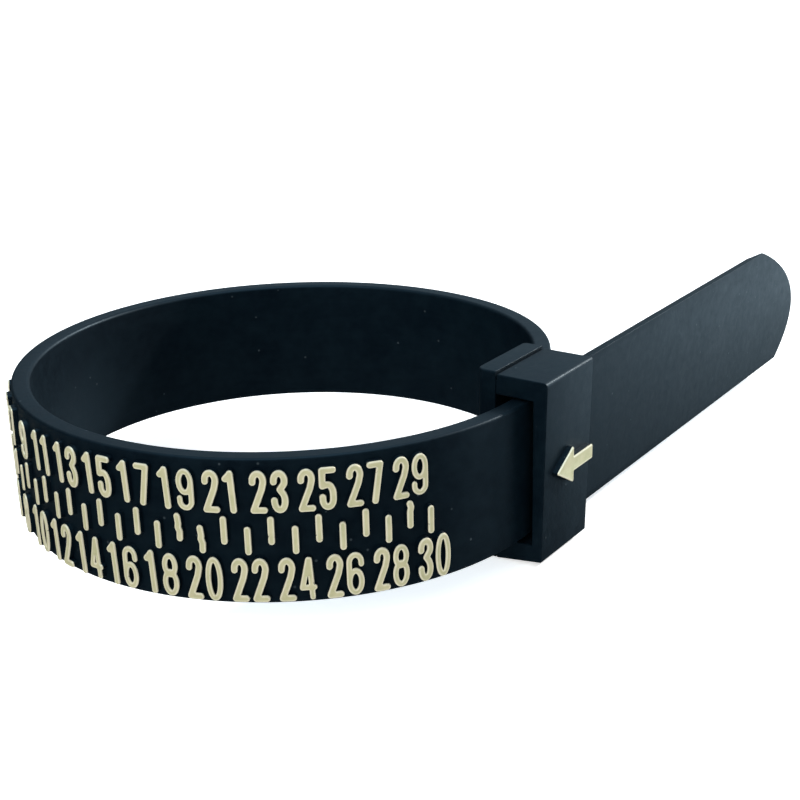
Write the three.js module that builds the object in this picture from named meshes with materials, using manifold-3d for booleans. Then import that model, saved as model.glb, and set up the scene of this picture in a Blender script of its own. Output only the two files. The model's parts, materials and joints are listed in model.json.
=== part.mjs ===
// Belt-type ring sizer: a moulded strap that runs from a root plate round the finger and back through
// the slot of its head. Raised size numbers 1 to 30 stand on the outside of the strap.
// Millimetres, +Z up. +X runs along the free end, +Y from the head towards the finger opening.
import * as THREE from 'three';
import { mergeVertices } from 'three/addons/utils/BufferGeometryUtils.js';
import Module from 'manifold-3d';

const wasm = await Module();
wasm.setup();

// ---- driving dimensions ----------------------------------------------------------------------------

const sizeStep = Math.PI / 3;      // strap length for one ring size: 1/3 mm of finger diameter
const lastSize = 30;
const loopRadius = 14.4;           // loop at its largest, to the middle of the strap's thickness
const strapThickness = 1.0;
const strapWidth = 7.36;
const endGap = 0.3;                // clearance between neighbouring pieces of strap

const headLength = 4.85;           // along X
const headTop = 4.8;               // above the strap's middle plane
const headOuter = 15.85;           // distance of the head's outer face from the loop axis
const headInner = 13.2;            // the seam against the root plate
const headBottomAtOuter = -4.95;
const slotOuter = 15.3;
const slotTop = 3.8;
const slotBottom = -4.05;

const plateOuter = 12.95;
const plateInner = 12.0;
const plateTop = 5.0;
const plateBottom = -5.25;
const plateEndRadius = 0.3;

const rootRadius = 12.0;           // the strap bends a little tighter next to its root
const rootDistance = 12.5;         // the root's middle line, measured from the loop axis

const tailWidth = 8.25;            // wider than the slot, so the strap can't be pulled back out
const tailShoulder = headLength + 0.3;
const tailTopEnd = 31.6;
const tailBottomEnd = 35.0;
const tailTipPull = [[37.2, 2.0], [40.2, -1.0]];   // control points of the rounded tip, X and Z
const tailEdge = 0.15;             // thickness of the tail's bare edge
const tailTaper = 0.42;            // how far its back is drawn in from that edge
const neckOverlap = 0.5;           // of the neck into the tail

const arrow = { tip: 0.77, neck: 2.45, end: 4.5, halfHead: 1.0, halfShaft: 0.38, z: -0.15, height: 0.5 };

const lastMarkBeforeHead = 6.547;  // strap length from the size 30 mark to the head
const relief = 0.3;                // height of the numbers and marks over the strap
const reliefRoot = 0.2;            // how deep they are let into the strap
const layerStep = 0.03;
const stroke = 0.3;
const thinStroke = 0.25;           // of the digits with a closed counter
const digitWidth = 0.79;
const counterGrowth = 0.045;       // half of how much wider those digits are
const digitHeight = 2.11;
const digitPitch = 0.92;
const evenRowStretch = 1.066;      // the lower row of numbers stands taller
const evenNumberLead = 0.03;       // per size, how far the last numbers run ahead of their marks
const oddNumberLead = 0.015;
const leadStartSize = 25;
const oddRowZ = 2.14;
const evenRowZ = -2.33;
const oddMarkZ = 0.2;
const evenMarkZ = -0.31;
const markLength = 1.42;

const sizesPerSection = 4;         // numbered stretch, away from the head
const fineSizesPerSection = 2;     // next to the head, where the strap straightens
const fineSections = 5;
const firstCoarseSize = 26;
const backSections = 9;            // plain stretch between the root and the first numbers
const facetLength = 1.4;           // of the flats that make up the curved strap

// ---- the strap's middle line -----------------------------------------------------------------------

// Root arc and loop circle share a tangent where they meet, at the angle meetAngle.
const root = new THREE.Vector2(headLength, -rootDistance);
const centreOffset = loopRadius - rootRadius;
const meetAngle = root.angle() - 2 * Math.PI + Math.acos(
  (root.lengthSq() + centreOffset ** 2 - rootRadius ** 2) / (2 * root.length() * centreOffset));
const rootCentre = new THREE.Vector2(Math.cos(meetAngle), Math.sin(meetAngle)).multiplyScalar(centreOffset);
const rootAngle = root.clone().sub(rootCentre).angle() - 2 * Math.PI;
const rootLength = rootRadius * (meetAngle - rootAngle);
const entryAngle = 1.5 * Math.PI;
const loopLength = rootLength + loopRadius * (entryAngle - meetAngle);

// Point at distance s along the strap from its root, h outwards from the middle line, at height z.
function onStrap(s, z, h) {
  let centre = rootCentre;
  let radius = rootRadius;
  let angle = rootAngle + s / rootRadius;
  if (s > rootLength) {
    centre = new THREE.Vector2(0, 0);
    radius = loopRadius;
    angle = meetAngle + (s - rootLength) / loopRadius;
  }
  return [centre.x + (radius + h) * Math.cos(angle), centre.y + (radius + h) * Math.sin(angle), z];
}

function markPosition(size) {
  return loopLength - lastMarkBeforeHead - (lastSize - size) * sizeStep;
}

// Strap lengths at which one piece of strap ends and the next begins.
function sectionEnds() {
  const ends = [];
  const fineStart = markPosition(firstCoarseSize);
  for (let i = 0; i <= fineSections; i++) ends.push(fineStart + i * fineSizesPerSection * sizeStep);
  let start = fineStart;
  for (let size = firstCoarseSize - sizesPerSection; size > 0; size -= sizesPerSection) {
    start = markPosition(size);
    ends.unshift(start);
  }
  for (let i = backSections - 1; i >= 0; i--) ends.unshift(start * i / backSections);
  return ends;
}

// ---- solids ----------------------------------------------------------------------------------------

function toSolid(geometry) {
  const bare = geometry.index ? geometry.toNonIndexed() : geometry.clone();
  bare.deleteAttribute('normal');
  bare.deleteAttribute('uv');
  const merged = mergeVertices(bare, 1e-5);
  return new wasm.Manifold(new wasm.Mesh({
    numProp: 3,
    vertProperties: new Float32Array(merged.attributes.position.array),
    triVerts: new Uint32Array(merged.index.array),
  }));
}

function toGeometry(solid) {
  const mesh = solid.getMesh();
  const geometry = new THREE.BufferGeometry();
  geometry.setAttribute('position', new THREE.BufferAttribute(new Float32Array(mesh.vertProperties), 3));
  geometry.setIndex(new THREE.BufferAttribute(new Uint32Array(mesh.triVerts), 1));
  geometry.computeVertexNormals();
  return geometry;
}

// Carries a flat shape, drawn as X along the strap, Y up and Z outwards, onto the curved strap.
function wrap(geometry) {
  const p = geometry.attributes.position;
  for (let i = 0; i < p.count; i++) p.setXYZ(i, ...onStrap(p.getX(i), p.getY(i), p.getZ(i)));
  return geometry;
}

function strapBlock(from, to, width, low, high) {
  const steps = Math.max(2, Math.ceil((to - from) / facetLength));
  const box = new THREE.BoxGeometry(to - from, width, high - low, steps, 1, 1);
  box.translate((from + to) / 2, 0, (low + high) / 2);
  return toSolid(wrap(box));
}

// ---- size numbers ----------------------------------------------------------------------------------

// Every stroke is a list of points on its middle line. a and b are half the line box's width and height,
// c half its width where the digit has a closed counter.
const a = (digitWidth - stroke) / 2;
const b = (digitHeight - stroke) / 2;
const c = a + counterGrowth;

function arc(x, y, rx, ry, from, to, steps) {
  const points = [];
  for (let i = 0; i <= steps; i++) {
    const t = THREE.MathUtils.degToRad(from + (to - from) * i / steps);
    points.push([x + rx * Math.cos(t), y + ry * Math.sin(t)]);
  }
  return points;
}

// Closed round-ended loop, rx wide and ry high from its centre.
const loop = (y, rx, ry) => ({
  closed: true,
  width: thinStroke,
  line: [...arc(0, y + ry - rx, rx, rx, 0, 180, 4), ...arc(0, y - ry + rx, rx, rx, 180, 360, 4)],
});
const line = (...points) => ({ closed: false, width: stroke, line: points });
const thinLine = (...points) => ({ closed: false, width: thinStroke, line: points });

const digits = [
  [loop(0, c, b + (stroke - thinStroke) / 2)],
  [line([-0.04, b], [0.06, -b]), line([-0.04, b - 0.04], [-0.24, b - 0.24])],
  [line([-a, b - 0.42], ...arc(0, b - 0.36, a, 0.36, 165, 0, 4), [0.18, 0.1], [-a, -b], [a, -b])],
  [line([-a, b - 0.42], ...arc(0, b - 0.36, a, 0.36, 165, -20, 4), [0.02, 0.08],
    ...arc(0, -b + 0.42, a, 0.42, 30, -160, 5), [-a, -b + 0.45])],
  [thinLine([0.08, b], [0.19, -b]), thinLine([0.04, b - 0.1], [-0.28, -0.43], [0.28, -0.43])],
  [line([a, b], [-a, b], [-a, 0.14], ...arc(0, -0.32, a, 0.5, 90, 0, 3),
    ...arc(0, -b + 0.38, a, 0.38, 0, -160, 4), [-a, -b + 0.5])],
  [loop(-b + 0.52, c, 0.52),
    thinLine([c, b - 0.42], ...arc(0, b - 0.36, c, 0.36, 20, 180, 4), [-c, -b + 0.52])],
  [line([-a, b], [a, b], [-0.02, -b])],
  [loop(b - 0.45, c * 0.92, 0.45), loop(-b + 0.52, c, 0.52)],
  [loop(b - 0.52, c, 0.52),
    thinLine([c, b - 0.52], ...arc(0, -b + 0.36, c, 0.36, 0, -160, 4), [-c, -b + 0.42])],
];

// Outline points beside a stroke's middle line, on the side given by sign.
function sideOf({ line: points, closed, width }, sign) {
  const count = points.length;
  return points.map((p, i) => {
    const before = points[closed ? (i + count - 1) % count : Math.max(i - 1, 0)];
    const after = points[closed ? (i + 1) % count : Math.min(i + 1, count - 1)];
    const inDir = new THREE.Vector2(p[0] - before[0], p[1] - before[1]).normalize();
    const outDir = new THREE.Vector2(after[0] - p[0], after[1] - p[1]).normalize();
    const along = inDir.clone().add(outDir).normalize();
    const stretch = Math.min(1 / Math.max(along.dot(inDir.lengthSq() ? inDir : outDir), 0.1), 2.2);
    const reach = sign * stretch * width / 2;
    return new THREE.Vector2(p[0] - along.y * reach, p[1] + along.x * reach);
  });
}

// Half-round end of a stroke, from one side of its last point to the other.
function roundEnd(end, before, width) {
  const angle = Math.atan2(end[1] - before[1], end[0] - before[0]);
  return [0.2, -0.2].map((turn) => new THREE.Vector2(
    end[0] + width / 2 * Math.cos(angle + turn * Math.PI),
    end[1] + width / 2 * Math.sin(angle + turn * Math.PI)));
}

// Strokes of one digit cross each other, so each later one is a layer step lower at its top and its root.
function strokeSolid(item, s, z, layer, stretch) {
  const left = sideOf(item, 1);
  const right = sideOf(item, -1);
  let shape;
  if (item.closed) {
    shape = new THREE.Shape(right);
    shape.holes.push(new THREE.Path(left));
  } else {
    const p = item.line;
    const far = roundEnd(p[p.length - 1], p[p.length - 2], item.width);
    const near = roundEnd(p[0], p[1], item.width);
    shape = new THREE.Shape([...left, ...far, ...right.reverse(), ...near]);
  }
  const depth = relief + reliefRoot;
  const geometry = new THREE.ExtrudeGeometry(shape, { depth, bevelEnabled: false, steps: 1 });
  geometry.scale(1, stretch, 1);
  geometry.translate(s, z, strapThickness / 2 - reliefRoot - layer * layerStep);
  return toSolid(wrap(geometry));
}

function sizeMarkSolids(size, from, to) {
  const s = markPosition(size);
  const odd = size % 2 === 1;
  const digitZ = odd ? oddRowZ : evenRowZ;
  const markZ = odd ? oddMarkZ : evenMarkZ;
  const stretch = odd ? 1 : evenRowStretch;
  const lead = (odd ? oddNumberLead : evenNumberLead) * Math.max(0, size - leadStartSize);
  const half = (markLength - stroke) / 2;
  const solids = [];
  // A mark that stands on the joint between two sections belongs to neither.
  if (s > from && s < to) solids.push(strokeSolid(line([0, half], [0, -half]), s, markZ, 0, 1));
  const text = String(size);
  for (let i = 0; i < text.length; i++) {
    const shift = (i - (text.length - 1) / 2) * digitPitch;
    digits[Number(text[i])].forEach((item, layer) => {
      solids.push(strokeSolid(item, s + lead + shift, digitZ, layer, stretch));
    });
  }
  return solids;
}

// One piece of strap between two section ends, with the parts of the numbers that lie on it.
function strapSectionSolid(from, to) {
  const start = from + endGap / 2;
  const end = to - endGap / 2;
  const half = strapThickness / 2;
  const marks = [];
  for (let size = 1; size <= lastSize; size++) {
    const reach = (end - start) / 2 + digitPitch;
    if (Math.abs(markPosition(size) - (start + end) / 2) < reach) marks.push(...sizeMarkSolids(size, start, end));
  }
  if (marks.length === 0) return strapBlock(start, end, strapWidth, -half, half);
  // Numbers that cross a joint are cut there, together with the strap under them.
  const long = strapBlock(start - digitWidth, end + digitWidth, strapWidth, -half, half);
  const cut = strapBlock(start, end, 2 * strapWidth, -2 * half, 4 * half);
  return marks.reduce((solid, mark) => solid.add(mark), long).intersect(cut);
}

// ---- head, root plate and free end -----------------------------------------------------------------

// Turns an outline drawn in (y outwards, z) into a bar along X.
function barAlongX(points, from, to) {
  const shape = new THREE.Shape(points.map(([outwards, z]) => new THREE.Vector2(-outwards, z)));
  const geometry = new THREE.ExtrudeGeometry(shape, { depth: to - from, bevelEnabled: false, steps: 1 });
  geometry.applyMatrix4(new THREE.Matrix4().set(0, 0, 1, from, 1, 0, 0, 0, 0, 1, 0, 0, 0, 0, 0, 1));
  return geometry;
}

// Turns an outline drawn in (x, z) into a sheet between two distances from the loop axis.
function sheetAlongX(shape, inner, outer) {
  const geometry = new THREE.ExtrudeGeometry(shape, { depth: outer - inner, bevelEnabled: false, curveSegments: 20 });
  geometry.rotateX(Math.PI / 2);
  geometry.translate(0, -inner, 0);
  return geometry;
}

function slotHeadSolid() {
  const channel = barAlongX([
    [headInner, headTop], [headOuter, headTop], [headOuter, headBottomAtOuter], [headInner, plateBottom],
    [headInner, slotBottom], [slotOuter, slotBottom], [slotOuter, slotTop], [headInner, slotTop],
  ], 0, headLength);
  const { tip, neck, end, halfHead, halfShaft, z, height } = arrow;
  const outline = new THREE.Shape([
    [tip, 0], [neck, -halfHead], [neck, -halfShaft], [end, -halfShaft],
    [end, halfShaft], [neck, halfShaft], [neck, halfHead],
  ].map(([x, up]) => new THREE.Vector2(x, up + z)));
  const pointer = sheetAlongX(outline, headOuter - reliefRoot, headOuter + height);
  return toSolid(channel).add(toSolid(pointer));
}

function rootPlateGeometry() {
  const r = plateEndRadius;
  return barAlongX([
    [plateInner, plateTop - r], [plateInner + r, plateTop], [plateOuter, plateTop],
    [plateOuter, plateBottom], [plateInner + r, plateBottom], [plateInner, plateBottom + r],
  ], 0, headLength - endGap / 2);
}

// Tail outline from its shoulder to its tip, drawn in from its long edges and its tip by an inset.
function tailShape(inset) {
  const half = tailWidth / 2 - inset;
  const [upperPull, lowerPull] = tailTipPull;
  const shape = new THREE.Shape();
  shape.moveTo(tailShoulder, -half);
  shape.lineTo(tailBottomEnd - inset, -half);
  shape.bezierCurveTo(lowerPull[0] - inset, lowerPull[1], upperPull[0] - inset, upperPull[1],
    tailTopEnd - inset, half);
  shape.lineTo(tailShoulder, half);
  shape.closePath();
  return shape;
}

// The plain neck that lies in the slot, and the tail, whose back is tapered towards a thin edge.
function freeEndSolid(from) {
  const inner = loopRadius - strapThickness / 2;
  const outer = loopRadius + strapThickness / 2;
  const edge = sheetAlongX(tailShape(0), outer - tailEdge, outer);
  const back = sheetAlongX(tailShape(tailTaper), inner, inner + tailEdge);
  const tail = wasm.Manifold.hull([toSolid(edge), toSolid(back)]);
  const neckEnd = tailShoulder + neckOverlap;
  const neck = new THREE.BoxGeometry(neckEnd - from, strapThickness, strapWidth);
  neck.translate((from + neckEnd) / 2, -loopRadius, 0);
  return tail.add(toSolid(neck));
}

// ---- the assembly ----------------------------------------------------------------------------------

const plastic = () => new THREE.MeshStandardMaterial({ color: 0x18242d, roughness: 0.55, metalness: 0 });

const belt = new THREE.Group();
belt.position.set(-headLength / 2, (plateInner + plateOuter) / 2, -plateBottom);

function addPiece(name, geometry) {
  const mesh = new THREE.Mesh(geometry, plastic());
  mesh.name = name;
  belt.add(mesh);
}

addPiece('slot_head', toGeometry(slotHeadSolid()));
addPiece('root_plate', rootPlateGeometry());

const ends = sectionEnds();
for (let i = 0; i + 1 < ends.length; i++) {
  const name = `strap_section_${String(i + 1).padStart(2, '0')}`;
  addPiece(name, toGeometry(strapSectionSolid(ends[i], ends[i + 1])));
}
addPiece('free_end', toGeometry(freeEndSolid(ends[ends.length - 1] - loopLength + endGap / 2)));

const ringSizer = new THREE.Group();
ringSizer.add(belt);
export default ringSizer;
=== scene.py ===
"""Looks of a belt ring sizer: a flexible moulding with gold print on its raised numbers, marks and arrow.

Sizes are in millimetres, as a maker would measure them, and become metres where a mesh is made.
Loop frame: origin on the loop's axis, halfway up the strap, X along the free end, -Y outwards at the head.
"""
import json
import math

import bmesh
import bpy
import numpy as np
from mathutils import Matrix, Vector
from mathutils.geometry import tessellate_polygon

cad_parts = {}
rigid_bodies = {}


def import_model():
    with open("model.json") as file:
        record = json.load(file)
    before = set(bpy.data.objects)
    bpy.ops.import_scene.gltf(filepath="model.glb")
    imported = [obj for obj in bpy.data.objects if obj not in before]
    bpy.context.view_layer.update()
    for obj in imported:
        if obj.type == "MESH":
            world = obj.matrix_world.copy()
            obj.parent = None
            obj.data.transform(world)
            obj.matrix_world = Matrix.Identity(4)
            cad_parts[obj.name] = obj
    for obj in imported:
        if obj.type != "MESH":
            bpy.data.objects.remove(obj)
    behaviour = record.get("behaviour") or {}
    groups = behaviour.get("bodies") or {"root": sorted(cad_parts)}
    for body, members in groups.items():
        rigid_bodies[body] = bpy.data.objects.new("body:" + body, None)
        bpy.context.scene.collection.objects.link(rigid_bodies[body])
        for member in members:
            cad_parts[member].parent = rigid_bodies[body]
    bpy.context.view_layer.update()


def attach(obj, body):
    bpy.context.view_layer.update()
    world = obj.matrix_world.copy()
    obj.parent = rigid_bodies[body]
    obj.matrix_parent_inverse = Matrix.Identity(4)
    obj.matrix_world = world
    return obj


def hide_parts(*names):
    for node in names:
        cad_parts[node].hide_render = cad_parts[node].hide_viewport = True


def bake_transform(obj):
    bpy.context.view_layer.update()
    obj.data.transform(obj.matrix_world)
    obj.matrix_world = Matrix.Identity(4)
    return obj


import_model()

# ---- sizes -----------------------------------------------------------------------------------------

# The solids have the same sizes, with sharp edges. Only the head differs: its outer face leans out to the
# top, its top and foot are a little higher, and the seam is a groove beside the plate.
MM = 0.001
SIZE_STEP = math.pi / 3
LAST_SIZE = 30
LOOP_RADIUS = 14.4
STRAP_THICKNESS = 1.0
STRAP_WIDTH = 7.36
STRAP_OUTER_EDGE = 0.15
STRAP_INNER_EDGE = 0.22
STRAP_EDGE_STEPS = 8
ROOT_RADIUS = 12.0
ROOT_DISTANCE = 12.5
HEAD_LENGTH = 4.85
HEAD_TOP = 4.87
HEAD_OUTER = 15.85
HEAD_TOP_OUTER = 16.1
HEAD_INNER = 13.2
HEAD_BOTTOM = -4.9
SLOT_OUTER = 15.3
SLOT_TOP = 3.8
SLOT_BOTTOM = -4.05
HEAD_EDGE = 0.2
SEAM = 13.14
SEAM_DEPTH = 0.35
WEB_OVERLAP = 0.05
WEB_INSET = 0.06
PLATE_OUTER = 12.95
PLATE_INNER = 12.0
PLATE_TOP = 5.0
PLATE_BOTTOM = -5.25
PLATE_NEAR_CORNER = 0.45
PLATE_FAR_CORNER = 0.3
PLATE_EDGE = 0.13
ARROW_TIP = 0.77
ARROW_NECK = 2.45
ARROW_END = 4.5
ARROW_HALF_HEAD = 1.0
ARROW_HALF_SHAFT = 0.38
ARROW_Z = -0.15
ARROW_HEIGHT = 0.5
ARROW_CORNER = 0.07
TAIL_WIDTH = 8.25
TAIL_SHOULDER = 5.15
TAIL_TOP_END = 31.6
TAIL_BOTTOM_END = 35.0
TAIL_TIP_PULL = ((40.2, -1.0), (37.2, 2.0))
TAIL_TIP_STEPS = 40
TAIL_EDGE = 0.15
TAIL_EDGE_ROUNDING = 0.04
TAIL_TAPER = 0.42
LAST_MARK_BEFORE_HEAD = 6.547
RELIEF = 0.3
FILM = 0.03
SHOULDER = 0.055
NUMBER_DISH = 0.014
ARROW_DISH = 0.01
DIGIT_WIDTH = 0.79
COUNTER_GROWTH = 0.045
DIGIT_HEIGHT = 2.11
DIGIT_PITCH = 0.92
ODD_ROW_Z = 2.14
EVEN_ROW_Z = -2.33
EVEN_ROW_STRETCH = 1.066
EVEN_NUMBER_LEAD = 0.03
ODD_NUMBER_LEAD = 0.015
LEAD_START_SIZE = 25
ODD_MARK_Z = 0.2
EVEN_MARK_Z = -0.31
MARK_LENGTH = 1.42
STROKE = 0.3
THIN_STROKE = 0.25
TOUCH = 0.01

# The loop frame's origin in the row's frame.
ORIGIN = np.array([-HEAD_LENGTH / 2, (PLATE_INNER + PLATE_OUTER) / 2, -PLATE_BOTTOM])


def metres(points):
    """Loop-frame millimetres as row-frame metres."""
    return (np.asarray(points, float) + ORIGIN) * MM


# ---- the strap's middle line -----------------------------------------------------------------------

ROOT = np.array([HEAD_LENGTH, -ROOT_DISTANCE])
CENTRE_OFFSET = LOOP_RADIUS - ROOT_RADIUS
_root_reach = math.hypot(*ROOT)
MEET_ANGLE = math.atan2(ROOT[1], ROOT[0]) + math.acos(
    (_root_reach**2 + CENTRE_OFFSET**2 - ROOT_RADIUS**2) / (2 * _root_reach * CENTRE_OFFSET)
)
ROOT_CENTRE = CENTRE_OFFSET * np.array([math.cos(MEET_ANGLE), math.sin(MEET_ANGLE)])
ROOT_ANGLE = math.atan2(*(ROOT - ROOT_CENTRE)[::-1])
ROOT_LENGTH = ROOT_RADIUS * (MEET_ANGLE - ROOT_ANGLE)
LOOP_LENGTH = ROOT_LENGTH + LOOP_RADIUS * (1.5 * math.pi - MEET_ANGLE)


def on_strap(s, z=0.0, h=0.0):
    """Point at length s along the strap, h outwards from its middle, and the strap's direction there."""
    if s < 0:
        point, turn = on_strap(0.0, z, h)
        return point + s * np.array([math.cos(turn), math.sin(turn), 0.0]), turn
    if s > LOOP_LENGTH:
        return np.array([s - LOOP_LENGTH, -LOOP_RADIUS - h, z]), 0.0
    if s <= ROOT_LENGTH:
        centre, radius, angle = ROOT_CENTRE, ROOT_RADIUS, ROOT_ANGLE + s / ROOT_RADIUS
    else:
        centre, radius, angle = (0.0, 0.0), LOOP_RADIUS, MEET_ANGLE + (s - ROOT_LENGTH) / LOOP_RADIUS
    reach = radius + h
    point = np.array([centre[0] + reach * math.cos(angle), centre[1] + reach * math.sin(angle), z])
    return point, angle + math.pi / 2


def mark_position(size):
    return LOOP_LENGTH - LAST_MARK_BEFORE_HEAD - (LAST_SIZE - size) * SIZE_STEP


def hinge_positions():
    """Strap lengths of the hinges, from the root to the free end."""
    fine = [mark_position(26) + i * 2 * SIZE_STEP for i in range(6)]
    coarse = [mark_position(size) for size in (2, 6, 10, 14, 18, 22)]
    plain = [coarse[0] * i / 9 for i in range(9)]
    return plain + coarse + fine


# ---- shader nodes ----------------------------------------------------------------------------------


class Wire:
    """An output of a material's nodes, which takes part in sums like a number."""

    def __init__(self, tree, socket=None):
        self.tree = tree
        self.socket = socket

    def node(self, kind, settings=None, inputs=None, output=0):
        made = self.tree.nodes.new(kind)
        for name, value in (settings or {}).items():
            setattr(made, name, value)
        for name, value in (inputs or {}).items():
            if isinstance(value, Wire):
                self.tree.links.new(value.socket, made.inputs[name])
            else:
                made.inputs[name].default_value = value
        return Wire(self.tree, made.outputs[output])

    def maths(self, operation, first, second):
        return self.node("ShaderNodeMath", {"operation": operation}, {0: first, 1: second})

    def __add__(self, other):
        return self.maths("ADD", self, other)

    __radd__ = __add__

    def __mul__(self, other):
        return self.maths("MULTIPLY", self, other)

    def __sub__(self, other):
        return self.maths("SUBTRACT", self, other)

    def __rsub__(self, other):
        return self.maths("SUBTRACT", other, self)

    def above(self, low, high):
        """0 up to low, 1 from high, smooth between."""
        return self.node(
            "ShaderNodeMapRange",
            {"interpolation_type": "SMOOTHSTEP"},
            {0: self, 1: low, 2: high, 3: 0.0, 4: 1.0},
        )

    def blend(self, first, second):
        """Colour that goes from first to second as this goes from 0 to 1."""
        return self.node("ShaderNodeMix", {"data_type": "RGBA"}, {0: self, 6: first, 7: second}, 2)

    def noise(self, place, scale, detail, roughness, distortion=0.0):
        """Cloudy pattern. The scale is its number of features in a millimetre."""
        settings = {"Scale": scale, "Detail": detail, "Roughness": roughness, "Distortion": distortion}
        return self.node("ShaderNodeTexNoise", None, {"Vector": place, **settings})


def new_material(name):
    """A material with one Principled shader, and its nodes' starting point."""
    material = bpy.data.materials.new(name)
    material.use_nodes = True
    tree = material.node_tree
    return material, tree.nodes["Principled BSDF"], Wire(tree)


def in_millimetres(start, stretch=(1.0, 1.0, 1.0)):
    place = start.node("ShaderNodeTexCoord", None, None, "Object")
    return start.node("ShaderNodeMapping", None, {"Vector": place, "Scale": [k / MM for k in stretch]})


def connect(wire, shader, name):
    wire.tree.links.new(wire.socket, shader.inputs[name])


def moulded_plastic(name, deep, pale, roughness, specular):
    """Slate-black moulding: fine mould grain, flow streaks, a few scuffs and specks of dust."""
    material, shader, start = new_material(name)
    place = in_millimetres(start)
    cloud = start.noise(place, 0.32, 4.0, 0.55)
    grain = start.noise(place, 9.0, 2.0, 0.6)
    mottle = start.noise(place, 1.7, 5.0, 0.6, 0.4)
    streaks = start.noise(in_millimetres(start, (0.5, 0.5, 4.5)), 1.1, 3.0, 0.5)
    scuff = start.noise(in_millimetres(start, (1.3, 6.0, 9.0)), 1.4, 6.0, 0.7, 0.8).above(0.66, 0.74)
    spots = start.node(
        "ShaderNodeTexVoronoi", {"feature": "F1"}, {"Vector": place, "Scale": 0.9}, "Distance"
    )
    speck = 1 - spots.above(0.045, 0.075)
    tone = cloud.above(0.3, 0.7) * 0.45 + mottle.above(0.35, 0.65) * 0.35 + streaks.above(0.3, 0.7) * 0.2
    colour = tone.blend(deep, pale)
    colour = (scuff * 0.35).blend(colour, [3.2 * k for k in pale[:3]] + [1.0])
    colour = (speck * 0.25).blend(colour, (0.09, 0.11, 0.12, 1.0))
    connect(colour, shader, "Base Color")
    rough = roughness + (mottle - 0.5) * 0.22 + (cloud - 0.5) * 0.1 + scuff * 0.12
    connect(rough, shader, "Roughness")
    height = grain * 0.0022 + mottle * 0.006 + cloud * 0.03 + scuff * 0.002 + speck * 0.006
    bump = start.node("ShaderNodeBump", None, {"Strength": 1.0, "Distance": MM, "Height": height})
    connect(bump, shader, "Normal")
    shader.inputs["Specular IOR Level"].default_value = specular
    shader.inputs["Specular Tint"].default_value = (0.55, 0.82, 1.0, 1.0)
    return material


def gold_print():
    """Pale gold stamped film, thin and rubbed in places, with a painted highlight that lightens it where
    it rolls over an edge.
    """
    material, shader, start = new_material("gold stamped film")
    place = in_millimetres(start)
    rim = start.node("ShaderNodeAttribute", {"attribute_name": "rim"}, None, "Fac")
    cloud = start.noise(place, 1.3, 4.0, 0.6)
    grain = start.noise(place, 11.0, 3.0, 0.65)
    thin = start.noise(place, 3.1, 5.0, 0.7, 0.6)
    colour = cloud.above(0.3, 0.7).blend((0.42, 0.395, 0.225, 1.0), (0.50, 0.455, 0.28, 1.0))
    # painted highlight: the film is lightened where it rolls over the edge, as if it caught the light
    # there
    colour = (rim * 0.75).blend(colour, (0.70, 0.645, 0.49, 1.0))
    colour = (thin.above(0.62, 0.72) * 0.3).blend(colour, (0.42, 0.30, 0.12, 1.0))
    rubbed = (thin + rim * 0.12 + grain * 0.1).above(0.80, 0.86)
    colour = (rubbed * 0.85).blend(colour, (0.012, 0.018, 0.024, 1.0))
    connect(colour, shader, "Base Color")
    connect((1 - rubbed) * 0.3, shader, "Metallic")
    connect(0.36 + grain * 0.16 + rubbed * 0.15, shader, "Roughness")
    bump = start.node(
        "ShaderNodeBump", None, {"Strength": 1.0, "Distance": MM, "Height": grain * 0.004 + cloud * 0.01}
    )
    connect(bump, shader, "Normal")
    return material


DEEP_SLATE = (0.0008, 0.0024, 0.0048, 1.0)
PALE_SLATE = (0.0020, 0.0056, 0.0088, 1.0)
PLASTIC = moulded_plastic("slate moulding", DEEP_SLATE, PALE_SLATE, 0.47, 0.16)
GOLD = gold_print()


# ---- geometry nodes --------------------------------------------------------------------------------


def make_tree(name, inputs, build):
    """A node tree for a modifier: geometry and the named inputs in, geometry out."""
    tree = bpy.data.node_groups.new(name, "GeometryNodeTree")
    tree.is_modifier = True
    tree.interface.new_socket("Geometry", in_out="INPUT", socket_type="NodeSocketGeometry")
    for label, kind in inputs:
        tree.interface.new_socket(label, in_out="INPUT", socket_type=kind)
    tree.interface.new_socket("Geometry", in_out="OUTPUT", socket_type="NodeSocketGeometry")
    source = tree.nodes.new("NodeGroupInput")
    sink = tree.nodes.new("NodeGroupOutput")

    def add(kind, links, **settings):
        made = tree.nodes.new(kind)
        for key, value in settings.items():
            setattr(made, key, value)
        for key, value in links.items():
            if isinstance(value, bpy.types.NodeSocket):
                tree.links.new(value, made.inputs[key])
            else:
                made.inputs[key].default_value = value
        return made

    shape = build(add, source.outputs)
    real = add("GeometryNodeRealizeInstances", {0: shape})
    done = add(
        "GeometryNodeSetMaterial", {"Geometry": real.outputs[0], "Material": source.outputs["Material"]}
    )
    tree.links.new(done.outputs[0], sink.inputs[0])
    return tree


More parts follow.
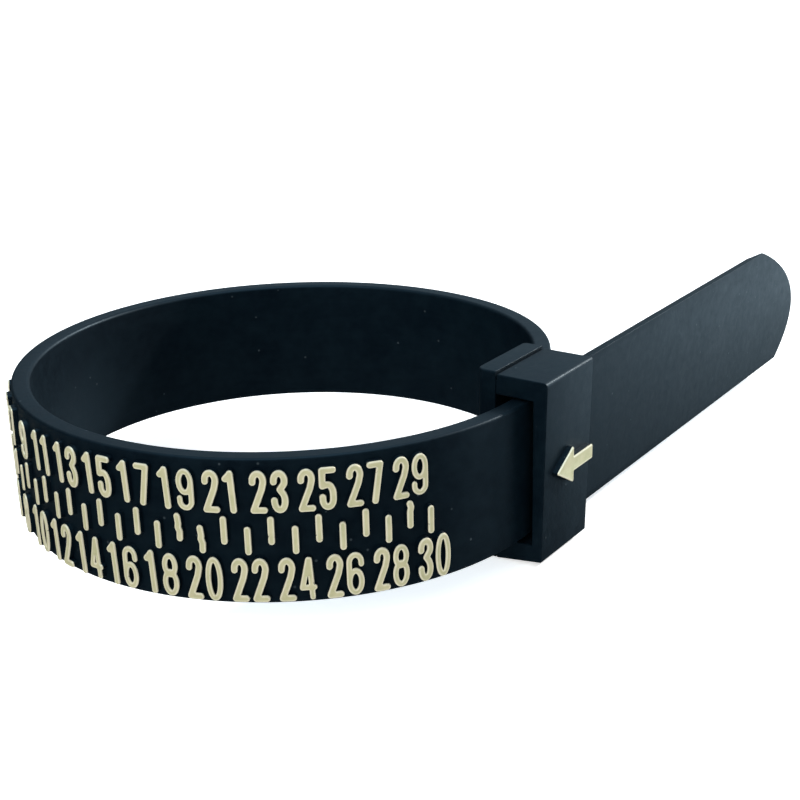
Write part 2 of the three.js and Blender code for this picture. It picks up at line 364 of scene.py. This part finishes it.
def strap_sweep(add, given):
    """A rounded bar swept along the middle line from one length to another.

    The trim's inputs 4 and 5 are lengths. The mix picks each corner's radius by the side it is on.
    """
    line = add("GeometryNodeMeshToCurve", {0: given["Geometry"]})
    ends = {4: given["From"], 5: given["To"]}
    cut = add("GeometryNodeTrimCurve", {0: line.outputs[0], **ends}, mode="LENGTH")
    upright = add("GeometryNodeSetCurveNormal", {0: cut.outputs[0]}, mode="Z_UP")
    bar = add(
        "GeometryNodeCurvePrimitiveQuadrilateral", {"Width": given["Thickness"], "Height": given["Width"]}
    )
    corner = add("ShaderNodeSeparateXYZ", {0: add("GeometryNodeInputPosition", {}).outputs[0]})
    inside = add("ShaderNodeMath", {0: corner.outputs["X"], 1: 0.0}, operation="LESS_THAN")
    radius = add(
        "ShaderNodeMix",
        {0: inside.outputs[0], 2: given["Outer Edge"], 3: given["Inner Edge"]},
        data_type="FLOAT",
    )
    soft = add(
        "GeometryNodeFilletCurve",
        {"Curve": bar.outputs[0], "Count": STRAP_EDGE_STEPS, "Radius": radius.outputs[0]},
        mode="POLY",
    )
    swept = add(
        "GeometryNodeCurveToMesh",
        {"Curve": upright.outputs[0], "Profile Curve": soft.outputs[0], "Fill Caps": True},
    )
    return swept.outputs[0]


def sign_places(add, given):
    """One raised sign on every point, picked by number and turned with the strap."""
    signs = add(
        "GeometryNodeCollectionInfo",
        {"Collection": given["Signs"], "Separate Children": True, "Reset Children": True},
    )
    which = add("GeometryNodeInputNamedAttribute", {"Name": "sign"}, data_type="INT")
    turn = add("GeometryNodeInputNamedAttribute", {"Name": "turn"}, data_type="FLOAT")
    stretch = add("GeometryNodeInputNamedAttribute", {"Name": "stretch"}, data_type="FLOAT")
    turned = add("ShaderNodeCombineXYZ", {"Z": turn.outputs[0]})
    sized = add("ShaderNodeCombineXYZ", {"X": 1.0, "Y": 1.0, "Z": stretch.outputs[0]})
    spread = add(
        "GeometryNodeInstanceOnPoints",
        {
            "Points": given["Geometry"],
            "Instance": signs.outputs[0],
            "Pick Instance": True,
            "Instance Index": which.outputs[0],
            "Rotation": turned.outputs[0],
            "Scale": sized.outputs[0],
        },
    )
    return spread.outputs[0]


def run_tree(tree, name, base, values):
    """The tree's result on the base mesh, as a plain mesh object."""
    holder = bpy.data.objects.new(name + "_maker", base)
    bpy.context.scene.collection.objects.link(holder)
    modifier = holder.modifiers.new("maker", "NODES")
    modifier.node_group = tree
    labels = {i.name: i.identifier for i in tree.interface.items_tree if i.in_out == "INPUT"}
    for label, value in values.items():
        modifier[labels[label]] = value
    mesh = bpy.data.meshes.new_from_object(holder.evaluated_get(bpy.context.evaluated_depsgraph_get()))
    holder.modifiers.remove(modifier)
    bpy.data.objects.remove(holder)
    return finished(name, mesh)


def finished(name, mesh, sharp=math.radians(40)):
    """Links a mesh as an object, merged, closed, facing out, smooth except at sharp edges."""
    mesh.name = name
    work = bmesh.new()
    work.from_mesh(mesh)
    bmesh.ops.remove_doubles(work, verts=work.verts, dist=2e-7)
    bmesh.ops.recalc_face_normals(work, faces=work.faces)
    if work.calc_volume(signed=True) < 0:
        bmesh.ops.reverse_faces(work, faces=work.faces)
    for face in work.faces:
        face.smooth = True
    for edge in work.edges:
        edge.smooth = edge.calc_face_angle(0.0) < sharp
    work.to_mesh(mesh)
    work.free()
    made = bpy.data.objects.new(name, mesh)
    bpy.context.scene.collection.objects.link(made)
    return made


# ---- raised signs ----------------------------------------------------------------------------------

# Every stroke is a list of points on its middle line. A and B are half the line box's width and height,
# C half its width where the digit has a closed counter.
A = (DIGIT_WIDTH - STROKE) / 2
B = (DIGIT_HEIGHT - STROKE) / 2
C = A + COUNTER_GROWTH
THIN_DIGITS = (0, 4, 6, 8, 9)


def arc(x, y, rx, ry, start, end, steps=14):
    angles = np.radians(np.linspace(start, end, steps + 1))
    return [(x + rx * math.cos(t), y + ry * math.sin(t)) for t in angles]


def oval(y, rx, ry, point=1.0):
    """Closed narrow loop. A point above 1 draws its ends in to a pointed oval."""
    angles = np.linspace(0, 2 * math.pi, 41)
    return [
        (rx * math.copysign(abs(math.cos(t)) ** point, math.cos(t)), y + ry * math.sin(t)) for t in angles
    ]


DIGITS = (
    [oval(0, C, B + (STROKE - THIN_STROKE) / 2, 0.9)],
    [[(-0.03, B), (0.06, -B)], [(-0.03, B - 0.02), (-0.25, B - 0.26)]],
    [[(-A, B - 0.42), *arc(0, B - 0.36, A, 0.36, 165, -12), (0.16, 0.12), (-A, -B), (A, -B)]],
    [
        [(-A, B - 0.42), *arc(0, B - 0.36, A, 0.36, 165, -30), (0.03, 0.1)],
        [(0.03, 0.1), *arc(0, -B + 0.46, A, 0.46, 48, -165), (-A, -B + 0.48)],
    ],
    [[(0.08, B), (0.19, -B)], [(0.03, B), (-0.28, -0.43), (0.28, -0.43)]],
    [
        [(A, B), (-A, B), (-A, 0.14), *arc(-0.02, -0.3, A + 0.02, 0.5, 105, 0)],
        [*arc(0, -B + 0.4, A, 0.4, 0, -165), (-A, -B + 0.5)],
        [(A, -0.3), (A, -B + 0.4)],
    ],
    [oval(-B + 0.52, C, 0.52), [(C, B - 0.46), *arc(0, B - 0.36, C, 0.36, 15, 180), (-C, -B + 0.52)]],
    [[(-A, B), (A, B), (-0.02, -B)]],
    [oval(B - 0.45, C * 0.92, 0.45), oval(-B + 0.52, C, 0.52)],
    [oval(B - 0.52, C, 0.52), [(C, B - 0.52), *arc(0, -B + 0.36, C, 0.36, 0, -165), (-C, -B + 0.46)]],
)
HALF_MARK = (MARK_LENGTH - STROKE) / 2
PLAIN_MARK, CHIPPED_MARK, WAVY_MARK = 10, 11, 12
WORN_MARKS = {29: CHIPPED_MARK, 19: WAVY_MARK, 20: WAVY_MARK}
MARKS = (
    [[(0, HALF_MARK), (0, -HALF_MARK)]],
    [[(-0.01, HALF_MARK), (0.05, HALF_MARK - 0.2), (0, HALF_MARK - 0.42), (0, -HALF_MARK)]],
    [[(-0.04, HALF_MARK), (0.0, 0.2), (-0.03, 0.0), (0.05, -0.2), (0.03, -HALF_MARK)]],
)


def to_strokes(lines, width):
    """Signed distance to the outline of round-ended strokes along the lines."""
    starts = np.array([p for line in lines for p in line[:-1]], float)
    ends = np.array([p for line in lines for p in line[1:]], float)
    runs = ends - starts
    lengths = np.maximum((runs**2).sum(1), 1e-12)

    def distance(points):
        best = np.full(len(points), 1e9)
        for start, run, length in zip(starts, runs, lengths):
            t = np.clip(((points - start) @ run) / length, 0, 1)
            best = np.minimum(best, np.hypot(*(points - start - t[:, None] * run).T))
        return best - width / 2

    return distance


def to_polygon(corners, corner_radius):
    """Signed distance to a polygon's outline with its outer corners rounded."""
    corners = np.array(corners, float)
    before, after = np.roll(corners, 1, 0), np.roll(corners, -1, 0)
    into = (corners - before) / np.hypot(*(corners - before).T)[:, None]
    out = (after - corners) / np.hypot(*(after - corners).T)[:, None]
    left_in, left_out = np.stack([-into[:, 1], into[:, 0]], 1), np.stack([-out[:, 1], out[:, 0]], 1)
    mitre = left_in + left_out
    mitre /= (mitre * left_in).sum(1)[:, None]
    inner = corners + corner_radius * mitre
    edge = to_strokes([[tuple(p) for p in (*inner, inner[0])]], 0.0)
    follow = np.roll(inner, -1, 0)

    def distance(points):
        crossings = np.zeros(len(points), int)
        for (x0, y0), (x1, y1) in zip(inner, follow):
            spans = (y0 > points[:, 1]) != (y1 > points[:, 1])
            with np.errstate(divide="ignore", invalid="ignore"):
                x = x0 + (points[:, 1] - y0) * (x1 - x0) / (y1 - y0)
            crossings += spans & (points[:, 0] < x)
        return np.where(crossings % 2 == 1, -1, 1) * edge(points) - corner_radius

    return distance


def outlines(distance, low, high, cell=0.03, step=0.045):
    """Closed outlines where the distance is 0, with the solid on their left."""
    xs = np.arange(low[0], high[0] + cell, cell)
    ys = np.arange(low[1], high[1] + cell, cell)
    grid = np.stack(np.meshgrid(xs, ys, indexing="ij"), -1)
    values = distance(grid.reshape(-1, 2)).reshape(len(xs), len(ys)) + 1e-9
    follows, places = {}, {}
    inside = values < 0
    mixed = inside[:-1, :-1].astype(int) + inside[1:, :-1] + inside[1:, 1:] + inside[:-1, 1:]
    for i, j in np.argwhere((mixed > 0) & (mixed < 4)):
        ring = [(i, j), (i + 1, j), (i + 1, j + 1), (i, j + 1)]
        crossed = []
        for one, two in zip(ring, ring[1:] + ring[:1]):
            if inside[one] != inside[two]:
                key = (min(one, two), max(one, two))
                share = values[one] / (values[one] - values[two])
                places[key] = grid[one] + share * (grid[two] - grid[one])
                crossed.append((key, inside[one]))
        for n, (key, leaving) in enumerate(crossed):
            if leaving:
                follows[key] = crossed[(n + 1) % len(crossed)][0]
    loops = []
    while follows:
        chain, key = [], min(follows)
        while key in follows:
            chain.append(places[key])
            key = follows.pop(key)
        loops.append(evenly(np.array(chain), step))
    return [settle(loop, distance) for loop in loops if len(loop) > 6]


def evenly(loop, step):
    closed = np.vstack([loop, loop[:1]])
    along = np.concatenate([[0], np.cumsum(np.hypot(*np.diff(closed, axis=0).T))])
    count = max(8, round(along[-1] / step))
    at = np.arange(count) * along[-1] / count
    return np.stack([np.interp(at, along, closed[:, k]) for k in (0, 1)], 1)


def slope(points, distance):
    tiny = 1e-4
    rise = [
        distance(points + np.array(d)) - distance(points - np.array(d)) for d in ((tiny, 0.0), (0.0, tiny))
    ]
    slopes = np.stack(rise, 1) / (2 * tiny)
    return slopes / np.maximum(np.hypot(*slopes.T), 1e-6)[:, None]


def settle(points, distance):
    for _ in range(2):
        points = points - distance(points)[:, None] * slope(points, distance)
    return points


def raised_mesh(name, distance, loops, rings, material):
    """A closed solid over the outlines. Every ring is an inset, a height and its share of the painted edge
    highlight.
    """
    faces, points, rim_highlight_and_wear_values = [], [], []
    count = sum(len(loop) for loop in loops)
    inward = [-slope(loop, distance) for loop in loops]
    for inset, height, rim in rings:
        for loop, way in zip(loops, inward):
            for u, v in loop + inset * way:
                points.append((u, -height, v))
                rim_highlight_and_wear_values.append(rim)
    for level in range(len(rings) - 1):
        start = level * count
        for loop in loops:
            n = len(loop)
            for k in range(n):
                low, high = start + k, start + (k + 1) % n
                faces.append((low, high, high + count, low + count))
            start += n
    for level, up in ((0, False), (len(rings) - 1, True)):
        flat = [loop + rings[level][0] * way for loop, way in zip(loops, inward)]
        joined = np.vstack(flat)
        start = level * count
        for tri in tessellate_polygon([[Vector((u, v, 0)) for u, v in loop] for loop in flat]):
            p, q, r = (joined[k] for k in tri)
            turning = (q[0] - p[0]) * (r[1] - p[1]) - (q[1] - p[1]) * (r[0] - p[0])
            order = tri if (turning > 0) == up else tri[::-1]
            faces.append(tuple(start + k for k in order))
    mesh = bpy.data.meshes.new(name)
    mesh.from_pydata([tuple(c * MM for c in p) for p in points], [], faces)
    # these values carry the gold film's painted edge highlight, and also a little extra rubbing at its
    # edge
    mesh.attributes.new("rim", "FLOAT", "POINT").data.foreach_set("value", rim_highlight_and_wear_values)
    mesh.materials.append(material)
    for polygon in mesh.polygons:
        polygon.use_smooth = True
    return mesh


def body_rings(height):
    """Draughted walls and a rounded shoulder."""
    top = height - FILM
    return [
        (-0.035, -0.1, 0.0),
        (-0.03, 0.0, 0.0),
        (0.0, top - SHOULDER, 0.0),
        (SHOULDER * 0.13, top - SHOULDER * 0.5, 0.0),
        (SHOULDER * 0.5, top - SHOULDER * 0.13, 0.0),
        (SHOULDER, top, 0.0),
    ]


def film_rings(height, dish):
    """Film over the top and the shoulder, closed underneath, a little dished in the middle. The last
    number of each ring is its share of the painted edge highlight.
    """
    top = height - FILM
    return [
        (SHOULDER + 0.03, top - 0.03, 1.0),
        (0.03, top - SHOULDER * 0.9, 1.0),
        (-0.008, top - SHOULDER * 0.8, 1.0),
        (-0.004, top - SHOULDER * 0.3, 1.0),
        (SHOULDER * 0.25, top + FILM * 0.6, 1.0),
        (SHOULDER * 0.8, top + FILM, 0.8),
        (SHOULDER + 0.02, top + FILM - dish * 0.6, 0.2),
        (SHOULDER + 0.05, top + FILM - dish, 0.0),
    ]


def make_signs():
    """Two collections of raised signs to pick from: the plastic bodies and the gold film on them."""
    bodies = bpy.data.collections.new("sign bodies")
    films = bpy.data.collections.new("sign films")
    for number, lines in enumerate((*DIGITS, *MARKS)):
        distance = to_strokes(lines, THIN_STROKE if number in THIN_DIGITS else STROKE)
        loops = outlines(distance, (-0.75, -B - 0.3), (0.75, B + 0.3))
        for group, rings, material in (
            (bodies, body_rings(RELIEF), PLASTIC),
            (films, film_rings(RELIEF, NUMBER_DISH), GOLD),
        ):
            mesh = raised_mesh(f"sign_{number:02d}", distance, loops, rings, material)
            group.objects.link(bpy.data.objects.new(f"{group.name} {number:02d}", mesh))
    return bodies, films


def sign_list():
    """(strap length, height, sign number, stretch in height) of every mark and digit."""
    signs = []
    for size in range(1, LAST_SIZE + 1):
        s = mark_position(size)
        odd = size % 2 == 1
        mark = WORN_MARKS.get(size, PLAIN_MARK)
        signs.append((s, ODD_MARK_Z if odd else EVEN_MARK_Z, mark, 1.0))
        lead = (ODD_NUMBER_LEAD if odd else EVEN_NUMBER_LEAD) * max(0, size - LEAD_START_SIZE)
        row, stretch = (ODD_ROW_Z, 1.0) if odd else (EVEN_ROW_Z, EVEN_ROW_STRETCH)
        text = str(size)
        for i, digit in enumerate(text):
            shift = (i - (len(text) - 1) / 2) * DIGIT_PITCH
            signs.append((s + lead + shift, row, int(digit), stretch))
    return signs


# ---- the strap -------------------------------------------------------------------------------------

HINGES = hinge_positions()
MIDDLES = [(one + two) / 2 for one, two in zip(HINGES, HINGES[1:])]
LET_IN = 0.35
SLEEVE_END = LOOP_LENGTH + HEAD_LENGTH / 2
CUTS = [-LET_IN, *MIDDLES, SLEEVE_END]


def path_mesh():
    """The strap's middle line as a fine chain of edges, from a little inside the root plate."""
    lengths = np.arange(-LET_IN, SLEEVE_END + 0.3, 0.25)
    mesh = bpy.data.meshes.new("middle line")
    points = [tuple(metres(on_strap(s)[0])) for s in lengths]
    mesh.from_pydata(points, [(i, i + 1) for i in range(len(points) - 1)], [])
    return mesh


def points_mesh(signs):
    mesh = bpy.data.meshes.new("sign places")
    places = [on_strap(s, z, STRAP_THICKNESS / 2) for s, z, _, _ in signs]
    mesh.from_pydata([tuple(metres(point)) for point, _ in places], [], [])
    mesh.attributes.new("turn", "FLOAT", "POINT").data.foreach_set("value", [turn for _, turn in places])
    mesh.attributes.new("sign", "INT", "POINT").data.foreach_set("value", [sign[2] for sign in signs])
    mesh.attributes.new("stretch", "FLOAT", "POINT").data.foreach_set("value", [sign[3] for sign in signs])
    return mesh


def make_strap():
    sweep = make_tree(
        "strap sweep",
        (
            ("From", "NodeSocketFloat"),
            ("To", "NodeSocketFloat"),
            ("Width", "NodeSocketFloat"),
            ("Thickness", "NodeSocketFloat"),
            ("Outer Edge", "NodeSocketFloat"),
            ("Inner Edge", "NodeSocketFloat"),
            ("Material", "NodeSocketMaterial"),
        ),
        strap_sweep,
    )
    places = make_tree(
        "sign places", (("Signs", "NodeSocketCollection"), ("Material", "NodeSocketMaterial")), sign_places
    )
    bodies, films = make_signs()
    line = path_mesh()
    signs = sign_list()
    for k in range(len(HINGES)):
        low, high = CUTS[k], CUTS[k + 1]
        start, end = metres(on_strap(low)[0]), metres(on_strap(high)[0])
        skin = run_tree(
            sweep,
            f"strap_length_{k + 1:02d}",
            line,
            {
                "From": (low + LET_IN) * MM,
                "To": (high + LET_IN) * MM,
                "Width": STRAP_WIDTH * MM,
                "Thickness": STRAP_THICKNESS * MM,
                "Outer Edge": STRAP_OUTER_EDGE * MM,
                "Inner Edge": STRAP_INNER_EDGE * MM,
                "Material": PLASTIC,
            },
        )
        pieces = [(skin, "moulded_plastic")]
        here = [sign for sign in signs if low <= sign[0] < high]
        if here:
            spots = points_mesh(here)
            for name, group, material, slot in (
                ("raised_numbers", bodies, PLASTIC, "moulded_plastic"),
                ("gold_print", films, GOLD, "gold_print"),
            ):
                values = {"Signs": group, "Material": material}
                pieces.append((run_tree(places, f"{name}_{k + 1:02d}", spots, values), slot))
        for piece, slot in pieces:
            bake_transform(piece)
        if k < len(HINGES) - 1:
            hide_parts(f"strap_section_{k + 1:02d}")
    for group in (bodies, films):
        for sign in list(group.objects):
            bpy.data.objects.remove(sign)
        bpy.data.collections.remove(group)


# ---- head, root plate and free end -----------------------------------------------------------------


def bar_mesh(rings, place):
    """Closed bar through rings of a height and an outline. place() turns them into loop-frame points."""
    count = len(rings[0][1])
    corners = [tuple(metres(place(u, v, height))) for height, points in rings for u, v in points]
    faces = []
    for level in range(len(rings) - 1):
        low, high = level * count, (level + 1) * count
        for k in range(count):
            after = (k + 1) % count
            faces.append((low + k, low + after, high + after, high + k))
    last = (len(rings) - 1) * count
    faces += [tuple(range(count))[::-1], tuple(range(last, last + count))]
    mesh = bpy.data.meshes.new("bar")
    mesh.from_pydata(corners, [], faces)
    mesh.materials.append(PLASTIC)
    return mesh


def softened(name, mesh, width, angle=25, share=None):
    """The mesh with its edges rounded. share() gives an edge's part of the width from its two ends."""
    work = finished(name + "_blank", mesh, 0.0)
    edit = bmesh.new()
    edit.from_mesh(work.data)
    weight = edit.edges.layers.float.new("bevel_weight_edge")
    for edge in edit.edges:
        if edge.calc_face_angle(0.0) > math.radians(angle):
            ends = [np.array(v.co) / MM - ORIGIN for v in edge.verts]
            edge[weight] = share(*ends) if share else 1.0
    edit.to_mesh(work.data)
    edit.free()
    bevel = work.modifiers.new("edges", "BEVEL")
    bevel.width = width * MM
    bevel.segments = 4
    bevel.limit_method = "WEIGHT"
    bevel.use_clamp_overlap = True
    result = bpy.data.meshes.new_from_object(work.evaluated_get(bpy.context.evaluated_depsgraph_get()))
    work.modifiers.remove(bevel)
    bpy.data.objects.remove(work)
    return finished(name, result, math.radians(30))


# Ways to place a bar: its outline's two numbers and its height, in the order they are given.


def along_x(outwards, z, x):
    return (x, -outwards, z)


def outward(x, z, outwards):
    return (x, -outwards, z)


def upright(x, outwards, z):
    return (x, -outwards, z)


def make_head():
    channel = [
        (HEAD_INNER, HEAD_TOP),
        (HEAD_TOP_OUTER, HEAD_TOP),
        (HEAD_OUTER, HEAD_BOTTOM),
        (HEAD_INNER, PLATE_BOTTOM),
        (HEAD_INNER, SLOT_BOTTOM),
        (SLOT_OUTER, SLOT_BOTTOM),
        (SLOT_OUTER, SLOT_TOP),
        (HEAD_INNER, SLOT_TOP),
    ]
    block = bar_mesh([(0.0, channel), (HEAD_LENGTH, channel)], along_x)
    head = softened("slotted_head", block, HEAD_EDGE, share=head_edge_share)
    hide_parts("slot_head")
    near, far = PLATE_NEAR_CORNER, PLATE_FAR_CORNER
    plan = [
        (0.0, SEAM),
        *arc(near, PLATE_INNER + near, near, near, 180, 270, 6),
        *arc(HEAD_LENGTH - far, PLATE_INNER + far, far, far, 270, 360, 6),
        (HEAD_LENGTH, SEAM),
    ]
    block = bar_mesh([(PLATE_BOTTOM, plan), (PLATE_TOP, plan)], upright)
    plate = softened("root_plate_block", block, PLATE_EDGE, share=plate_edge_share)
    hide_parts("root_plate")
    pieces = [head, plate]
    low, high = SEAM - WEB_OVERLAP, HEAD_INNER + WEB_OVERLAP
    for name, top, bottom in (
        ("upper_web", HEAD_TOP - SEAM_DEPTH, SLOT_TOP),
        ("lower_web", SLOT_BOTTOM, HEAD_BOTTOM),
    ):
        outline = [(low, top), (high, top), (high, bottom), (low, bottom)]
        block = bar_mesh([(WEB_INSET, outline), (HEAD_LENGTH - WEB_INSET, outline)], along_x)
        pieces.append(finished(name, block))
    for piece in pieces:
        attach(piece, "head")
    make_arrow()


def head_edge_share(one, two):
    """Wide rounding along the outer top edge, narrow at the seam, crisp elsewhere."""
    outwards, height = -(one[1] + two[1]) / 2, (one[2] + two[2]) / 2
    if height > HEAD_TOP - TOUCH and outwards > HEAD_TOP_OUTER - TOUCH:
        return 1.1
    if height > HEAD_TOP - TOUCH and outwards < HEAD_INNER + TOUCH:
        return 0.45
    return 0.35


def plate_edge_share(one, two):
    """Rounded edges, crisp along the seam."""
    return 0.2 if -(one[1] + two[1]) / 2 > SEAM - TOUCH else 0.8


def make_arrow():
    """Raised arrow on the head's outer face, towards the strap, with gold film on its top."""
    corners = [
        (ARROW_TIP, ARROW_Z),
        (ARROW_NECK, ARROW_Z - ARROW_HALF_HEAD),
        (ARROW_NECK, ARROW_Z - ARROW_HALF_SHAFT),
        (ARROW_END, ARROW_Z - ARROW_HALF_SHAFT),
        (ARROW_END, ARROW_Z + ARROW_HALF_SHAFT),
        (ARROW_NECK, ARROW_Z + ARROW_HALF_SHAFT),
        (ARROW_NECK, ARROW_Z + ARROW_HALF_HEAD),
    ]
    distance = to_polygon(corners, ARROW_CORNER)
    loops = outlines(distance, (0.3, -1.6), (5.0, 1.3))
    for name, rings, material, slot in (
        ("arrow_body", body_rings(ARROW_HEIGHT), PLASTIC, "moulded_plastic"),
        ("arrow_gold_print", film_rings(ARROW_HEIGHT, ARROW_DISH), GOLD, "gold_print"),
    ):
        mesh = raised_mesh(name, distance, loops, rings, material)
        offset = metres((0.0, -HEAD_OUTER, 0.0))
        for vertex in mesh.vertices:
            vertex.co += Vector(offset)
        piece = finished(name, mesh)
        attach(piece, "head")


def tail_outline(inset):
    """Neck, wide shoulders and rounded tip. The tail is drawn in by the inset, the neck is not."""
    neck, half = STRAP_WIDTH / 2, TAIL_WIDTH / 2 - inset
    start = SLEEVE_END - LOOP_LENGTH
    lower, upper = TAIL_TIP_PULL
    pulls = (
        (TAIL_BOTTOM_END - inset, -half),
        (lower[0] - inset, lower[1]),
        (upper[0] - inset, upper[1]),
        (TAIL_TOP_END - inset, half),
    )
    tip = []
    for k in range(TAIL_TIP_STEPS + 1):
        t = k / TAIL_TIP_STEPS
        shares = ((1 - t) ** 3, 3 * t * (1 - t) ** 2, 3 * t**2 * (1 - t), t**3)
        tip.append(tuple(sum(share * pull[axis] for share, pull in zip(shares, pulls)) for axis in (0, 1)))
    return [
        (start, -neck),
        (TAIL_SHOULDER, -neck),
        (TAIL_SHOULDER, -half),
        *tip,
        (TAIL_SHOULDER, half),
        (TAIL_SHOULDER, neck),
        (start, neck),
    ]


def make_free_end():
    """The plain end of the strap in the slot and the tail, its back tapered towards a thin edge."""
    low, high = LOOP_RADIUS - STRAP_THICKNESS / 2, LOOP_RADIUS + STRAP_THICKNESS / 2
    full = tail_outline(0.0)
    block = bar_mesh([(low, tail_outline(TAIL_TAPER)), (high - TAIL_EDGE, full), (high, full)], outward)
    tail = softened("free_end_tail", block, TAIL_EDGE_ROUNDING, 50)
    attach(tail, "free_end")
    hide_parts("free_end")


make_strap()
make_head()
make_free_end()

# ---- floor, light and camera -----------------------------------------------------------------------


def make_floor():
    mesh = bpy.data.meshes.new("floor")
    reach, below = 3.0, -2e-5
    corners = [(x * reach, y * reach, below) for x, y in ((-1, -1), (1, -1), (1, 1), (-1, 1))]
    mesh.from_pydata(corners, [], [(0, 1, 2, 3)])
    material, shader, _ = new_material("pale floor")
    shader.inputs["Base Color"].default_value = (0.93, 0.93, 0.93, 1.0)
    shader.inputs["Roughness"].default_value = 0.9
    shader.inputs["Specular IOR Level"].default_value = 0.0
    shader.inputs["Emission Color"].default_value = (1.0, 1.0, 1.0, 1.0)
    shader.inputs["Emission Strength"].default_value = 0.6
    mesh.materials.append(material)
    floor = bpy.data.objects.new("floor", mesh)
    floor.visible_glossy = False
    bpy.context.scene.collection.objects.link(floor)


def add_sun(name, azimuth, elevation, strength, spread, colour, only=None):
    """Light from a direction. Azimuth is measured from +X towards +Y, in degrees."""
    light = bpy.data.lights.new(name, "SUN")
    light.energy = strength
    light.angle = math.radians(spread)
    light.color = colour
    sun = bpy.data.objects.new(name, light)
    sun.visible_glossy = only != "diffuse"
    sun.visible_diffuse = only != "glossy"
    az, el = math.radians(azimuth), math.radians(elevation)
    towards = Vector((math.cos(az) * math.cos(el), math.sin(az) * math.cos(el), math.sin(el)))
    sun.rotation_mode = "QUATERNION"
    sun.rotation_quaternion = towards.to_track_quat("Z", "Y")
    bpy.context.scene.collection.objects.link(sun)


def make_camera():
    """Close view from outside the head, a little above, the free end running away to the right.

    The camera looks along the heading, tilted down and rolled a little, at a point beside the loop's axis.
    """
    heading, tilt, roll = math.radians(35.0), 0.3541, -0.0254
    aside, above, distance = 6.003, 0.834, 79.36
    level = Vector((math.cos(heading), math.sin(heading), 0.0))
    forward = math.cos(tilt) * level - math.sin(tilt) * Vector((0.0, 0.0, 1.0))
    side = Vector((math.sin(heading), -math.cos(heading), 0.0))
    up = side.cross(forward)
    right = math.cos(roll) * side + math.sin(roll) * up
    top = -math.sin(roll) * side + math.cos(roll) * up
    aim = Vector(metres((aside * side.x, aside * side.y, above)))
    lens = bpy.data.cameras.new("camera")
    lens.sensor_width = 36.0
    lens.lens = 64.18
    lens.clip_start, lens.clip_end = 0.001, 20.0
    camera = bpy.data.objects.new("camera", lens)
    camera.location = aim - forward * distance * MM
    camera.rotation_mode = "QUATERNION"
    turned = Matrix((right, top, -forward)).transposed()
    camera.rotation_quaternion = turned.to_quaternion()
    bpy.context.scene.collection.objects.link(camera)
    bpy.context.scene.camera = camera


make_floor()
make_camera()
COOL = (0.6, 0.83, 1.0)
PALE_BLUE = (0.64, 0.85, 1.0)
WHITE = (1.0, 0.985, 0.96)
add_sun("overhead light", 30.0, 75.0, 1.5, 110.0, COOL)
add_sun("backdrop light", 25.0, 24.0, 0.15, 50.0, COOL, "glossy")
add_sun("skylight", -145.0, 72.0, 2.6, 60.0, COOL, "glossy")
add_sun("window light", -25.0, 28.0, 3.9, 4.0, WHITE)
add_sun("sheen light", -26.0, 8.0, 1.66, 60.0, PALE_BLUE, "glossy")
add_sun("fill light", -172.0, 30.0, 2.9, 70.0, WHITE, "diffuse")
scene = bpy.context.scene
scene.view_settings.view_transform = "Standard"
world = bpy.data.worlds.new("room")
world.use_nodes = True
background = world.node_tree.nodes["Background"]
background.inputs["Color"].default_value = (0.66, 0.88, 1.0, 1.0)
background.inputs["Strength"].default_value = 0.09
scene.world = world
